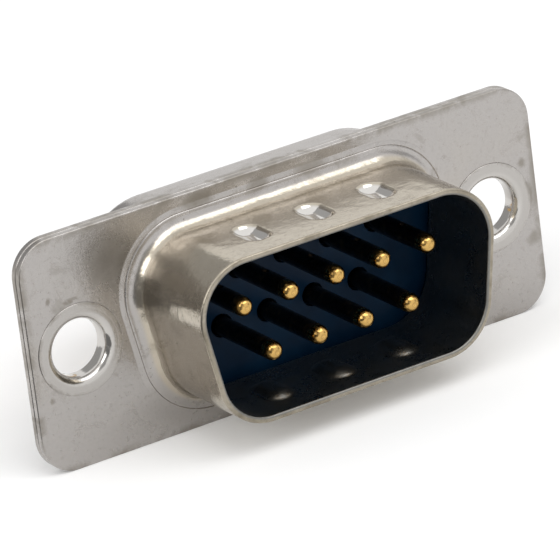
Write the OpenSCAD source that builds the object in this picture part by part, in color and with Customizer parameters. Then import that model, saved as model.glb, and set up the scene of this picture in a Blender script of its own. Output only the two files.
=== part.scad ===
// Nine-way D-sub plug with solder cups, built as the real one comes apart:
// two drawn shells held by eyelets, two insulator halves and nine contacts.
//
// X runs along the flange, Z is up with the wide row of contacts, and the
// mating side faces -Y. The origin is on the front face of the flange, midway
// between the two mounting holes, so every y below is measured from that face
// and grows towards the rear.

/* [Flange] */
// Overall width of the flange
flange_w = 30.81; // [29.5:0.01:34]
// Overall height of the flange
flange_h = 12.55; // [12.3:0.01:15]
// Corner radius of the flange
flange_r = 1.9; // [0.5:0.05:3]
// Thickness of the sheet that both shells are drawn from
sheet_t = 0.4; // [0.3:0.01:0.5]
// Distance from the middle of a mounting hole to the end of the flange
hole_margin = 2.91; // [2.6:0.01:3.5]
// Clear diameter of a mounting hole, through its eyelet
hole_d = 3.05; // [2.8:0.01:3.3]

/* [Hood] */
// Distance from the middle of a mounting hole to the mouth's inner wall
mouth_margin = 4.035; // [3.9:0.005:4.2]
// Inside height of the mouth
mouth_h = 8.36; // [8.1:0.01:8.5]
// Inside corner radius of the mouth
mouth_r = 2.59; // [2.2:0.01:2.9]
// Lean of the two ends of the D, in degrees
side_angle = 10; // [5:0.5:14]
// Reach of the hood in front of the flange
hood_depth = 6.1; // [5.5:0.05:7]
// Thickness of the hood wall, thinned by drawing
hood_t = 0.34; // [0.25:0.01:0.4]
// Radius at the foot of the hood
draw_r = 0.52; // [0.3:0.01:0.7]
// Width of the shallow ramp that the draw ring leaves round the foot
ramp_w = 0.65; // [0.3:0.05:0.7]
// Rise of that ramp
ramp_h = 0.08; // [0.02:0.01:0.12]
// Radius on the two edges of the rim
rim_r = 0.12; // [0.03:0.01:0.15]

/* [Earthing dimples] */
// Distance between neighbouring dimples
dimple_pitch = 3.75; // [3:0.05:4]
// Distance from the rim to the middle of a dimple
dimple_inset = 2.75; // [2.2:0.05:3.2]
// Length of a dimple, along the hood
dimple_len = 2.5; // [2:0.05:2.8]
// Width of a dimple
dimple_w = 1.5; // [1.1:0.05:1.8]
// Depth that a dimple is pressed in
dimple_depth = 0.36; // [0.15:0.01:0.45]

/* [Rear shell] */
// Distance that the cup's outer wall stands outside the mouth's inner wall
rear_out_u = 1.18; // [1.14:0.01:1.3]
// Reach of the cup behind the front face of the flange
rear_depth = 4.75; // [4.5:0.05:6]
// Inside radius where the cup leaves its flange
rear_draw_r = 0.5; // [0.2:0.01:0.6]
// Inside radius where the wall of the cup turns in
rear_bend_r = 0.6; // [0.3:0.01:0.8]
// Width that the cup's rear edge covers, from its outer wall
rear_lip_w = 1.7; // [1.4:0.05:2]

/* [Eyelets] */
// Wall of an eyelet's tube
eyelet_t = 0.27; // [0.2:0.01:0.35]
// Diameter of the flared front lip
eyelet_lip_d = 4.9; // [4.4:0.05:5.2]
// Diameter of the rolled rear head
eyelet_head_d = 4.7; // [4.4:0.05:5.2]
// Thickness of the rear head
eyelet_head_t = 0.24; // [0.22:0.01:0.35]
// Radius rolled on the edge of the rear head
eyelet_roll_r = 0.19; // [0.05:0.01:0.2]
// Height that the front lip stands proud of the flange
eyelet_proud = 0.04; // [0.01:0.01:0.08]
// Radius that leads into the hole
eyelet_lead_r = 0.46; // [0.3:0.01:0.5]

/* [Contacts] */
// Distance between contacts in a row
pitch = 2.77; // [2.7:0.01:2.85]
// Distance between the two rows
row_gap = 2.84; // [2.7:0.01:3]
// Diameter of a contact pin
pin_d = 1.02; // [0.9:0.01:1.1]
// Distance from the rim of the hood back to the pin tips
pin_recess = 0.95; // [0.5:0.05:2]
// Diameter of the dimple pressed into each pin
pin_dimple_d = 0.5; // [0.3:0.05:0.6]
// Depth of that dimple
pin_dimple_depth = 0.15; // [0.05:0.01:0.2]
// Distance from a pin's tip to its dimple
pin_dimple_inset = 2.55; // [1.5:0.05:3.2]
// Diameter of a contact's shank, inside the front insulator
shank_d = 1.14; // [1.1:0.01:1.2]
// Length of the taper that joins a pin to its shank
root_len = 0.55; // [0.55:0.01:0.7]
// Diameter of the collar that holds a contact between the insulator halves
collar_d = 2.1; // [2:0.01:2.2]
// Length of the collar
collar_len = 1.2; // [0.8:0.05:1.6]
// Diameter of the solder cup
cup_d = 1.7; // [1.6:0.01:1.9]
// Bore of the solder cup
cup_bore_d = 1.15; // [1:0.01:1.3]
// Reach of the solder cups behind the front face of the flange
cup_reach = 11.9; // [10:0.1:14]
// Depth of the cup's bore
cup_bore_len = 3.6; // [3:0.1:4.2]
// Length of the cup that is cut open
cup_open_len = 2.3; // [1.5:0.1:2.6]
// Height of the opened cup's edges above its axis
cup_edge_z = 0.13; // [0:0.01:0.3]

/* [Insulator] */
// Depth of the insulator's front face behind the front face of the flange
face_set = 0.25; // [0.2:0.01:0.3]
// Depth of the joint between the insulator halves
split_set = 2.3; // [1.9:0.05:2.6]
// Length that the rear boss stands out of the cup
boss_out = 0.75; // [0.3:0.05:1.5]
// Diameter of the relief round each pin in the front face
relief_d = 1.28; // [1.2:0.01:1.5]
// Depth of that relief
relief_len = 0.5; // [0.2:0.05:0.9]

/* [Clearances] */
// Clearance between an insulator and the shell round it
shell_gap = 0.14; // [0.08:0.01:0.2]
// Clearance round the insulator where it bears on the drawn foot and bend
nose_gap = 0.03; // [0.02:0.01:0.06]
// Clearance round a contact in its hole
contact_gap = 0.03; // [0.02:0.01:0.08]
// Clearance round an eyelet in the two flanges
eyelet_gap = 0.02; // [0.01:0.01:0.04]

/* [Hidden] */
PINS = [for (i = [1:9]) str("pin_", i)];
$fn = 96;

// Overlap that lets one cutter break cleanly through a face
over = 0.5;
// Overlap of two lengths of one straight, where they meet in its middle
lap = 0.05;
// Width that the front flange and the ramp beside it run into each other
bite = 0.1;

// Distance between the mounting holes, and the inside width of the mouth over
// its round corners. Both follow the flange, as they do from shell to shell
hole_pitch = flange_w - 2 * hole_margin;
mouth_w = hole_pitch - 2 * mouth_margin;

// Centres of the D's corner arcs: the wide pair above, the narrow pair below
arc_top_x = mouth_w / 2 - mouth_r;
arc_z = mouth_h / 2 - mouth_r;
arc_low_x = arc_top_x - 2 * arc_z * tan(side_angle);
half_end = arc_z / cos(side_angle);

// The D's corners, anticlockwise from the top right one. Each has its centre,
// the angle its arc starts at, the angle the arc turns through, and half the
// length of the straight before it and of the straight after it
CORNERS = [
    [[arc_top_x, arc_z], -side_angle, 90 + side_angle, half_end, arc_top_x],
    [[-arc_top_x, arc_z], 90, 90 + side_angle, arc_top_x, half_end],
    [[-arc_low_x, -arc_z], side_angle - 180, 90 - side_angle, half_end, arc_low_x],
    [[arc_low_x, -arc_z], -90, 90 - side_angle, arc_low_x, half_end],
];

// Front shell, with offsets measured outwards from the mouth's inner wall
foot_u = hood_t + draw_r;
foot_y = -(ramp_h + draw_r);
flare_r = sheet_t - foot_y;
plate_u = foot_u + ramp_w;
rim_y = -hood_depth;
dimple_y = rim_y + dimple_inset;
dimple_r = (pow(dimple_w / 2, 2) + pow(dimple_depth, 2)) / (2 * dimple_depth);
dimple_straight = dimple_len - dimple_w;

// Rear shell, with offsets measured as above
rear_flange_y = sheet_t;
rear_in_u = rear_out_u - sheet_t;
rear_foot_u = rear_out_u + rear_draw_r;
rear_foot_y = rear_flange_y + sheet_t + rear_draw_r;
rear_bend_u = rear_in_u - rear_bend_r;
rear_inner_y = rear_depth - sheet_t;
rear_bend_y = rear_inner_y - rear_bend_r;
rear_lip_u = rear_out_u - rear_lip_w;

// Insulator halves
body_u = rear_in_u - shell_gap;
nose_u = flare_r - sqrt(pow(flare_r, 2) - pow(face_set - foot_y, 2)) - nose_gap;
shoulder_u = rear_bend_u - nose_gap;
shoulder_y = rear_bend_y + sqrt(pow(rear_bend_r, 2) - pow(body_u - rear_bend_u, 2)) - nose_gap;
boss_u = rear_lip_u - shell_gap;
boss_y = rear_depth + boss_out;
relief_y = face_set + relief_len;

// Eyelets
bore_r = hole_d / 2;
tube_r = bore_r + eyelet_t;
stack_t = 2 * sheet_t;
sink_depth = sheet_t - eyelet_gap;

// Contacts
pin_r = pin_d / 2;
tip_y = rim_y + pin_recess;
root_y = relief_y - root_len;
collar_y = split_set - collar_len / 2;
cup_r = cup_d / 2;
cup_bore_r = cup_bore_d / 2;
cup_open_y = cup_reach - cup_open_len;

// Place of contact i, counted along the wide row and then the narrow one
function contact_at(i) = i <= 5
    ? [(i - 3) * pitch, row_gap / 2]
    : [(i - 7.5) * pitch, -row_gap / 2];

// Side of contact i that its cup opens on: up for the wide row, else down
function open_side(i) = i <= 5 ? 0 : 180;

// ---------------------------------------------------------------- helpers

// Extrudes a shape drawn in X and Z between two depths
module slab(y0, y1) {
    translate([0, y1, 0]) rotate([90, 0, 0]) linear_extrude(y1 - y0) children();
}

// Turns a profile, drawn as radius and depth, about an axis along Y
module turned(at) {
    translate([at[0], 0, at[1]])
        rotate([90, 0, 0]) rotate_extrude() mirror([0, 1]) children();
}

// Rectangle between two corners
module span(low, high) {
    translate(low) square(high - low);
}

// What a round of radius r takes off a corner that points at [-1, -1]
module corner_waste(r) {
    difference() {
        square(r);
        translate([r, r]) circle(r);
    }
}

// Quarter disc that hollows a corner, in the [-1, -1] quadrant of its centre
module hollow(r) {
    intersection() {
        circle(r);
        translate([-r, -r]) square(r);
    }
}

// Turns to an angle in two steps. The second makes up what the first loses
// when its matrix is written with six decimals, so neighbours meet exactly
module turned_to(angle) {
    written = atan2(round(sin(angle) * 1e6), round(cos(angle) * 1e6));
    rotate(angle - written) rotate(angle) children();
}

// Moves to a point in two steps, thousandths first, for the same reason
module moved_to(at) {
    whole = [for (v = at) round(v * 1000) / 1000];
    translate(at - whole) translate(whole) children();
}

// The D outline, grown outwards by u from the mouth's inner wall
module d_outline(u) {
    r = mouth_r + u;
    polygon([for (c = CORNERS) c[0] + r / 2 * [sign(c[0][0]), sign(c[0][1])]]);
    for (c = CORNERS) moved_to(c[0]) {
        circle(r);
        turned_to(c[1]) mirror([0, 1]) square([r, c[3] + lap]);
        turned_to(c[1] + c[2]) square([r, c[4] + lap]);
    }
}

// Moves a profile, drawn as outward offset and depth, to where a corner's arc
// turns it
module section() {
    translate([mouth_r, 0]) mirror([0, 1]) children();
}

// Sweeps a profile round the D, as four corners and four whole straights
module round_the_d() {
    rotate([90, 0, 0]) {
        for (c = CORNERS) translate(c[0])
            rotate(c[1]) rotate_extrude(angle = c[2]) section() children();
        for (c = CORNERS) translate(c[0])
            rotate(c[1]) rotate([90, 0, 0]) linear_extrude(2 * c[3]) section() children();
    }
}

// The same sweep, as four corners that each carry half of the straights beside
// them. Its sides lie exactly where d_outline has them, so that a plate cut
// with one can be closed by the other
module round_the_d_flush() {
    module straight(len) {
        rotate([90, 0, 0]) linear_extrude(len) section() children();
    }
    rotate([90, 0, 0]) for (c = CORNERS) moved_to(c[0]) {
        turned_to(c[1]) {
            rotate_extrude(angle = c[2]) section() children();
            straight(c[3] + lap) children();
        }
        turned_to(c[1] + c[2]) mirror([0, 1]) straight(c[4] + lap) children();
    }
}

// Flange blank: a rounded rectangle with a D-shaped opening
module flange_blank(opening_u) {
    difference() {
        square([flange_w, flange_h - 2 * flange_r], center = true);
        d_outline(opening_u);
    }
    difference() {
        square([flange_w - 2 * flange_r, flange_h], center = true);
        d_outline(opening_u);
    }
    for (x = [-1, 1], z = [-1, 1])
        translate([x * (flange_w / 2 - flange_r), z * (flange_h / 2 - flange_r)])
            circle(flange_r);
}

// ---------------------------------------------------------------- front shell

// Section of the hood: rim, wall, rounded foot and ramp
module hood_section() {
    difference() {
        polygon([
            [0, rim_y], [hood_t, rim_y], [hood_t, foot_y], [foot_u, foot_y],
            [foot_u, -ramp_h], [plate_u, 0], [plate_u + 2 * bite, 0],
            [plate_u + 2 * bite, sheet_t], [0, sheet_t],
        ]);
        translate([foot_u, foot_y]) mirror([0, 1]) hollow(draw_r);
        translate([0, sheet_t]) mirror([0, 1]) corner_waste(flare_r);
        translate([0, rim_y]) corner_waste(rim_r);
        translate([hood_t, rim_y]) mirror([1, 0]) corner_waste(rim_r);
    }
}

// A round-ended bar along Y, centred over a dimple on the top or bottom wall
module dimple_bar(r) {
    for (end = [-0.5, 0.5])
        translate([0, end * dimple_straight, 0]) sphere(r);
    rotate([90, 0, 0]) cylinder(r = r, h = dimple_straight, center = true);
}

// Places a bar over each dimple, standing off the wall's outer face
module at_dimples() {
    lift = mouth_h / 2 + hood_t + dimple_r - dimple_depth;
    for (i = [-1:1], z = [-1, 1])
        translate([i * dimple_pitch, dimple_y, z * lift]) children();
}

module front_shell() {
    color("silver") difference() {
        union() {
            slab(0, sheet_t) flange_blank(plate_u + bite);
            round_the_d() hood_section();
            intersection() {
                at_dimples() dimple_bar(dimple_r + hood_t);
                slab(rim_y + hood_t, 0) square([mouth_w, mouth_h + hood_t], center = true);
            }
        }
        at_dimples() dimple_bar(dimple_r);
        for (side = [-1, 1]) turned([side * hole_pitch / 2, 0]) countersink();
    }
}

// Hole for an eyelet's tube, opened out for its flared lip
module countersink() {
    polygon([
        [0, -over], [eyelet_lip_d / 2 + eyelet_gap, -over],
        [eyelet_lip_d / 2 + eyelet_gap, 0], [tube_r + eyelet_gap, sink_depth],
        [tube_r + eyelet_gap, sheet_t + over], [0, sheet_t + over],
    ]);
}

// ---------------------------------------------------------------- rear shell

// Section of the cup's rounded foot and wall
module wall_section() {
    difference() {
        polygon([
            [rear_foot_u, rear_flange_y], [rear_foot_u, rear_foot_y],
            [rear_out_u, rear_foot_y], [rear_out_u, rear_bend_y],
            [rear_in_u, rear_bend_y], [rear_in_u, rear_flange_y],
        ]);
        translate([rear_foot_u, rear_foot_y]) hollow(rear_draw_r);
        translate([rear_in_u, rear_flange_y]) corner_waste(rear_draw_r + sheet_t);
    }
}

// Section of the bend that turns the wall in to the lip
module bend_section() {
    outer_r = rear_bend_r + sheet_t;
    translate([rear_bend_u, rear_bend_y]) intersection() {
        difference() {
            circle(outer_r);
            circle(rear_bend_r);
        }
        square(outer_r);
    }
}

module rear_shell() {
    color("silver") difference() {
        union() {
            slab(rear_flange_y, rear_flange_y + sheet_t) flange_blank(rear_foot_u);
            round_the_d_flush() wall_section();
            round_the_d_flush() bend_section();
            slab(rear_inner_y, rear_depth) difference() {
                d_outline(rear_bend_u);
                d_outline(rear_lip_u);
            }
        }
        for (side = [-1, 1]) turned([side * hole_pitch / 2, 0])
            span([0, 0], [tube_r + eyelet_gap, stack_t + over]);
    }
}

// ---------------------------------------------------------------- eyelets

// Tubular rivet, flared into the front shell and rolled over behind the rear one
module eyelet(side) {
    lip_r = eyelet_lip_d / 2;
    head_r = eyelet_head_d / 2;
    head_y = stack_t + eyelet_head_t;
    color("gainsboro") turned([side * hole_pitch / 2, 0]) difference() {
        polygon([
            [bore_r, -eyelet_proud], [lip_r, -eyelet_proud], [lip_r, 0],
            [tube_r, sink_depth], [tube_r, stack_t], [head_r, stack_t],
            [head_r, head_y], [bore_r, head_y],
        ]);
        translate([bore_r, -eyelet_proud]) corner_waste(eyelet_lead_r);
        translate([head_r, head_y]) rotate(180) corner_waste(eyelet_roll_r);
    }
}

module eyelet_left() { eyelet(-1); }

module eyelet_right() { eyelet(1); }

// ---------------------------------------------------------------- insulators

module front_insulator() {
    color("midnightblue") difference() {
        union() {
            slab(face_set, split_set) d_outline(nose_u);
            slab(sheet_t, split_set) d_outline(body_u);
        }
        for (i = [1:9]) turned(contact_at(i)) {
            span([0, 0], [shank_d / 2 + contact_gap, split_set + over]);
            span([0, 0], [relief_d / 2, relief_y]);
            span([0, collar_y - contact_gap],
                 [collar_d / 2 + contact_gap, split_set + over]);
        }
    }
}

module rear_insulator() {
    color("midnightblue") difference() {
        union() {
            slab(split_set, shoulder_y) d_outline(body_u);
            slab(split_set, rear_inner_y) d_outline(shoulder_u);
            slab(split_set, boss_y) d_outline(boss_u);
        }
        for (i = [1:9]) turned(contact_at(i)) {
            span([0, 0], [cup_r + contact_gap, boss_y + over]);
            span([0, 0],
                 [collar_d / 2 + contact_gap, collar_y + collar_len + contact_gap]);
        }
    }
}

// ---------------------------------------------------------------- contacts

// Outline of a contact, from the round tip to the end of its cup
module contact_section() {
    difference() {
        union() {
            span([0, tip_y], [pin_r, root_y]);
            polygon([[0, root_y], [pin_r, root_y], [shank_d / 2, relief_y], [0, relief_y]]);
            span([0, relief_y], [shank_d / 2, collar_y]);
            span([0, collar_y], [collar_d / 2, collar_y + collar_len]);
            span([0, collar_y + collar_len], [cup_r, cup_reach]);
        }
        translate([pin_r, tip_y]) mirror([1, 0]) corner_waste(pin_r);
        span([0, cup_reach - cup_bore_len], [cup_bore_r, cup_reach + over]);
    }
}

// Cutter that opens one side of a cup, with a rounded start
module cup_opening() {
    y0 = cup_open_y + cup_r;
    translate([-cup_r - over, y0, cup_edge_z])
        cube([2 * (cup_r + over), cup_reach + over - y0, cup_r + over]);
    translate([0, y0, cup_edge_z + cup_r]) rotate([0, 90, 0])
        cylinder(r = cup_r, h = 2 * (cup_r + over), center = true);
}

module contact(i) {
    at = contact_at(i);
    color("goldenrod") difference() {
        turned(at) contact_section();
        translate([at[0], 0, at[1]]) rotate([0, open_side(i), 0]) {
            cup_opening();
            translate([0, tip_y + pin_dimple_inset, pin_r + pin_dimple_d / 2 - pin_dimple_depth])
                sphere(pin_dimple_d / 2);
        }
    }
}

// ---------------------------------------------------------------- nodes

front_shell();
rear_shell();
front_insulator();
rear_insulator();
eyelet_left();
eyelet_right();
for (i = [1:9])
    contact(i);
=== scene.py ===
"""Dresses a nine-way D-sub plug: two drawn shells, eyelets, insulator halves and contacts.

Sizes are in millimetres and become metres when a mesh is made. X runs along the
flange, -Y points out of the mating face, and +Z points to the wide row of contacts.
"""

import logging
import math
from collections.abc import Callable, Iterable, Sequence
from dataclasses import dataclass, field
from enum import Enum
from typing import TypeAlias

import bmesh
import bpy
from mathutils import Matrix, Vector, geometry


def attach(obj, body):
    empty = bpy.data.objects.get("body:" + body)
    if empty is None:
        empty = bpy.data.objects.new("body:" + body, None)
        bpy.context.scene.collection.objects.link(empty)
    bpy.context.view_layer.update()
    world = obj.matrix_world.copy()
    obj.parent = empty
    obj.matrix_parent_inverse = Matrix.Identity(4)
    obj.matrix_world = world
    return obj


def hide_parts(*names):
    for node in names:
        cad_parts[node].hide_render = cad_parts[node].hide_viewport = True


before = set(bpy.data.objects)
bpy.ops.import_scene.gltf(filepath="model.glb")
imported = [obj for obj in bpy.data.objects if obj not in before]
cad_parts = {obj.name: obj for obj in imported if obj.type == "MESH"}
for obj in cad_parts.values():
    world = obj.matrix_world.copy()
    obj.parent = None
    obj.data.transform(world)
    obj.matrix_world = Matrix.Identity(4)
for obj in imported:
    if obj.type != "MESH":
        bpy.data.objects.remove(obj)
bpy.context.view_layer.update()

log = logging.getLogger("d_sub_plug")

MM = 0.001
BODY = "root"
HOLE_PITCH = 24.99
EYELET_HOLE = 1.815
SHEET = 0.4
Colour = tuple[float, float, float, float]
Point2 = tuple[float, float]
Station = tuple[float, float, float, float]
Operand: TypeAlias = "Sock | float | tuple[float, float, float]"


def rgb(red: float, green: float, blue: float) -> Colour:
    """Returns an opaque linear colour."""
    return (red, green, blue, 1.0)


def blend(a: float, b: float, share: float) -> float:
    """Returns the value that lies a share of the way from a to b."""
    return a + (b - a) * share


def spaced(start: float, end: float, step: float) -> list[float]:
    """Divides a length evenly.

    Args:
        start: First value.
        end: Last value.
        step: Longest interval allowed.

    Returns:
        Values from start to end, both included.
    """
    count = max(1, math.ceil(abs(end - start) / step - 1e-9))
    return [blend(start, end, i / count) for i in range(count + 1)]


def arc(centre: Point2, radius: float, start: float, end: float, count: int) -> list[Point2]:
    """Walks along an arc.

    Args:
        centre: Centre of the arc.
        radius: Its radius.
        start: Angle of the first point, in degrees.
        end: Angle of the last point, in degrees.
        count: Number of steps.

    Returns:
        The arc's points, both ends included.
    """
    angles = [math.radians(blend(start, end, i / count)) for i in range(count + 1)]
    return [(centre[0] + radius * math.cos(a), centre[1] + radius * math.sin(a)) for a in angles]


# ------------------------------------------------------------------ shader expressions


class Kind(Enum):
    """What a shader socket carries."""

    VALUE = "VALUE"
    VECTOR = "VECTOR"
    COLOUR = "RGBA"


class Sock:
    """A shader node's output, on which arithmetic adds nodes."""

    def __init__(self, shader: "Shader", socket: bpy.types.NodeSocket) -> None:
        """Wraps a socket of a shader."""
        self.shader = shader
        self.socket = socket

    @property
    def kind(self) -> Kind:
        """What the socket carries."""
        return Kind(self.socket.type)

    def _with(self, operation: str, left: "Operand", right: "Operand") -> "Sock":
        """Adds a Math or Vector Math node.

        Args:
            operation: The node's operation.
            left: First operand.
            right: Second operand.

        Returns:
            The result.
        """
        vector = any(isinstance(v, tuple) or isinstance(v, Sock) and v.kind is Kind.VECTOR
                     for v in (left, right))
        if not vector:
            return self.shader.add("ShaderNodeMath", {"operation": operation}, {0: left, 1: right})
        left, right = (v if isinstance(v, (Sock, tuple)) else (v, v, v) for v in (left, right))
        return self.shader.add("ShaderNodeVectorMath", {"operation": operation},
                               {0: left, 1: right})

    def __add__(self, other: "Operand") -> "Sock":
        """Adds."""
        return self._with("ADD", self, other)

    __radd__ = __add__

    def __sub__(self, other: "Operand") -> "Sock":
        """Subtracts."""
        return self._with("SUBTRACT", self, other)

    def __rsub__(self, other: "Operand") -> "Sock":
        """Subtracts from a number."""
        return self._with("SUBTRACT", other, self)

    def __mul__(self, other: "Operand") -> "Sock":
        """Multiplies."""
        return self._with("MULTIPLY", self, other)

    __rmul__ = __mul__

    def __truediv__(self, other: "Operand") -> "Sock":
        """Divides."""
        return self._with("DIVIDE", self, other)

    def __pow__(self, other: "Operand") -> "Sock":
        """Raises to a power."""
        return self._with("POWER", self, other)

    def __abs__(self) -> "Sock":
        """Takes the size without its sign."""
        return self.shader.add("ShaderNodeMath", {"operation": "ABSOLUTE"}, {0: self})

    def at_most(self, other: "Operand") -> "Sock":
        """Keeps the smaller of two values."""
        return self._with("MINIMUM", self, other)

    def at_least(self, other: "Operand") -> "Sock":
        """Keeps the larger of two values."""
        return self._with("MAXIMUM", self, other)

    def ramp(self, low: float, high: float, start: float = 0.0, end: float = 1.0) -> "Sock":
        """Runs smoothly from start to end while the value runs from low to high.

        Args:
            low: Value at which the result leaves start.
            high: Value at which the result reaches end.
            start: Result below low.
            end: Result above high.

        Returns:
            The result.
        """
        return self.shader.add("ShaderNodeMapRange", {"interpolation_type": "SMOOTHSTEP"},
                               {0: self, 1: low, 2: high, 3: start, 4: end})


class Shader:
    """A material's node tree, built one node at a time."""

    def __init__(self, tree: bpy.types.NodeTree) -> None:
        """Empties a node tree, ready to be built."""
        self.tree = tree
        self.tree.nodes.clear()

    @staticmethod
    def _find(sockets: Iterable[bpy.types.NodeSocket], key: int | str) -> bpy.types.NodeSocket:
        """Finds a socket.

        Args:
            sockets: A node's inputs or outputs.
            key: The socket's number, its identifier or its name.

        Returns:
            The socket.
        """
        if isinstance(key, int):
            return sockets[key]
        return next((s for s in sockets if s.identifier == key), None) or sockets[key]

    def add(self, kind: str, settings: dict | None = None, inputs: dict | None = None,
            output: int | str = 0) -> Sock:
        """Adds a node.

        Args:
            kind: The node's type.
            settings: Its settings, which are set first.
            inputs: Values or links of its sockets.
            output: The output to return.

        Returns:
            The node's output.
        """
        node = self.tree.nodes.new(kind)
        for name, value in (settings or {}).items():
            setattr(node, name, value)
        for key, value in (inputs or {}).items():
            socket = self._find(node.inputs, key)
            if isinstance(value, Sock):
                self.tree.links.new(value.socket, socket)
            else:
                socket.default_value = value
        return Sock(self, self._find(node.outputs, output)) if node.outputs else None

    def place(self) -> tuple[Sock, Sock, Sock, Sock]:
        """Gives the place on the surface.

        Returns:
            The place in millimetres, and its x, y and z.
        """
        point = self.add("ShaderNodeTexCoord", output="Object") * (1 / MM)
        split = self.tree.nodes.new("ShaderNodeSeparateXYZ")
        self.tree.links.new(point.socket, split.inputs[0])
        return (point, *(Sock(self, s) for s in split.outputs))

    def join(self, x: Sock | float, y: Sock | float, z: Sock | float) -> Sock:
        """Joins three values into a vector."""
        return self.add("ShaderNodeCombineXYZ", inputs={0: x, 1: y, 2: z})

    def cloud(self, place: Sock, scale: float, detail: float = 3.0, rough: float = 0.55,
              warp: float = 0.0) -> Sock:
        """Makes cloudy noise.

        Args:
            place: Where to read it, in millimetres.
            scale: Clouds in a millimetre.
            detail: Number of finer layers.
            rough: How strong the finer layers are.
            warp: How far it is drawn out of shape.

        Returns:
            A value round 0.5.
        """
        return self.add("ShaderNodeTexNoise", {"noise_dimensions": "3D"},
                        {"Vector": place, "Scale": scale, "Detail": detail, "Roughness": rough,
                         "Distortion": warp})

    def mix(self, share: Sock | float, a: Sock | Colour, b: Sock | Colour,
            way: str = "MIX") -> Sock:
        """Mixes two colours.

        Args:
            share: How much of the second is taken.
            a: First colour.
            b: Second colour.
            way: The blend mode.

        Returns:
            The mixed colour.
        """
        return self.add("ShaderNodeMix", {"data_type": "RGBA", "blend_type": way},
                        {"Factor_Float": share, "A_Color": a, "B_Color": b}, "Result_Color")

    def bump(self, height: Sock, depth: float, under: Sock | None = None) -> Sock:
        """Turns a height into a normal.

        Args:
            height: Height from 0 to 1.
            depth: Its full depth, in millimetres.
            under: The normal to build on.

        Returns:
            The normal.
        """
        inputs = {"Height": height, "Strength": 1.0, "Distance": depth * MM}
        if under:
            inputs["Normal"] = under
        return self.add("ShaderNodeBump", inputs=inputs)

    def surface(self, inputs: dict) -> None:
        """Ends the tree in one principled surface with the given sockets."""
        surface = self.add("ShaderNodeBsdfPrincipled", inputs=inputs)
        self.add("ShaderNodeOutputMaterial", inputs={"Surface": surface})


def new_material(name: str) -> tuple[bpy.types.Material, Shader]:
    """Makes a material.

    Args:
        name: Its name.

    Returns:
        The material, and the shader that fills its node tree.
    """
    material = bpy.data.materials.new(name)
    material.use_nodes = True
    return material, Shader(material.node_tree)


# ------------------------------------------------------------------ outlines and dimples


@dataclass(frozen=True)
class DLine:
    """The mouth's inner wall, a D with round corners and leaning ends."""

    width: float = 16.92
    height: float = 8.36
    radius: float = 2.59
    lean: float = 10.0
    flat_step: float = 0.085
    end_step: float = 0.45
    arc_steps: int = 26

    def stations(self) -> list[Station]:
        """Walks round the D anticlockwise.

        Returns:
            A place in X and Z and the outward normal there, for each station.
        """
        lean = math.radians(self.lean)
        rise = self.height / 2 - self.radius
        wide = self.width / 2 - self.radius
        narrow = wide - 2 * rise * math.tan(lean)
        corners = [(wide, rise, -self.lean, 90), (-wide, rise, 90, 180 + self.lean),
                   (-narrow, -rise, 180 + self.lean, 270), (narrow, -rise, -90, -self.lean)]
        out: list[Station] = []
        for i, (cx, cz, start, end) in enumerate(corners):
            for angle in spaced(start, end, abs(end - start) / self.arc_steps):
                nx, nz = math.cos(math.radians(angle)), math.sin(math.radians(angle))
                out.append((cx + self.radius * nx, cz + self.radius * nz, nx, nz))
            last, following = out[-1], corners[(i + 1) % 4]
            nx, nz = last[2], last[3]
            goal = (following[0] + self.radius * nx, following[1] + self.radius * nz)
            length = math.dist(last[:2], goal)
            step = self.flat_step if i in (0, 2) else self.end_step
            for share in spaced(0.0, 1.0, step / length)[1:-1]:
                out.append((blend(last[0], goal[0], share), blend(last[1], goal[1], share), nx, nz))
        return out


@dataclass(frozen=True)
class Blank:
    """The flange's outline, a rectangle with round corners, and its two holes."""

    width: float = 30.81
    height: float = 12.55
    corner: float = 1.9
    pitch: float = HOLE_PITCH
    edge_round: float = 0.07
    hole_steps: int = 72

    def stations(self) -> list[Station]:
        """Walks round the flange's edge anticlockwise.

        Returns:
            A place in X and Z and the outward normal there, for each station.
        """
        out: list[Station] = []
        for sx, sz, start in ((1, 1, 0), (-1, 1, 90), (-1, -1, 180), (1, -1, 270)):
            cx, cz = sx * (self.width / 2 - self.corner), sz * (self.height / 2 - self.corner)
            for angle in spaced(start, start + 90, 5):
                nx, nz = math.cos(math.radians(angle)), math.sin(math.radians(angle))
                out.append((cx + self.corner * nx, cz + self.corner * nz, nx, nz))
        return out


@dataclass(frozen=True)
class Dimples:
    """The earthing dimples pressed into the top and bottom of the hood."""

    pitch: float = 3.75
    y: float = -3.35
    length: float = 2.5
    width: float = 1.5
    depth: float = 0.36
    soft: float = 0.012
    reach_share: float = 0.98
    fade_from: float = 0.8

    @property
    def radius(self) -> float:
        """Radius of the tool that presses a dimple."""
        return ((self.width / 2) ** 2 + self.depth**2) / (2 * self.depth)

    @property
    def straight(self) -> float:
        """Half the length of a dimple's straight part."""
        return (self.length - self.width) / 2

    def sink(self, x: float, y: float, wall: float) -> float:
        """Gives how deep the surface lies.

        Args:
            x: Place across the wall.
            y: Place along the hood.
            wall: How far the surface lies below the wall's outer face.

        Returns:
            The depth, at least 0.
        """
        nearest = min((-self.pitch, 0.0, self.pitch), key=lambda c: abs(x - c))
        away = math.hypot(x - nearest, max(0.0, abs(y - self.y) - self.straight))
        reach = self.radius + wall
        last = reach * self.reach_share
        if away > last:
            return 0.0
        deep = math.sqrt(reach**2 - away**2) - (self.radius - self.depth) - wall
        fade = 1 - max(0.0, (away - self.fade_from) / (last - self.fade_from))
        return 0.5 * (deep + math.sqrt(deep**2 + 4 * self.soft**2)) * min(1.0, fade)


# ------------------------------------------------------------------ finishes


@dataclass(frozen=True)
class FlangeMark:
    """A soft dark mark painted on the flange at a place given in X and Z; most are stains, one is a
    painted reflection.
    """

    x: float
    z: float
    width: float
    height: float
    strength: float


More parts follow.
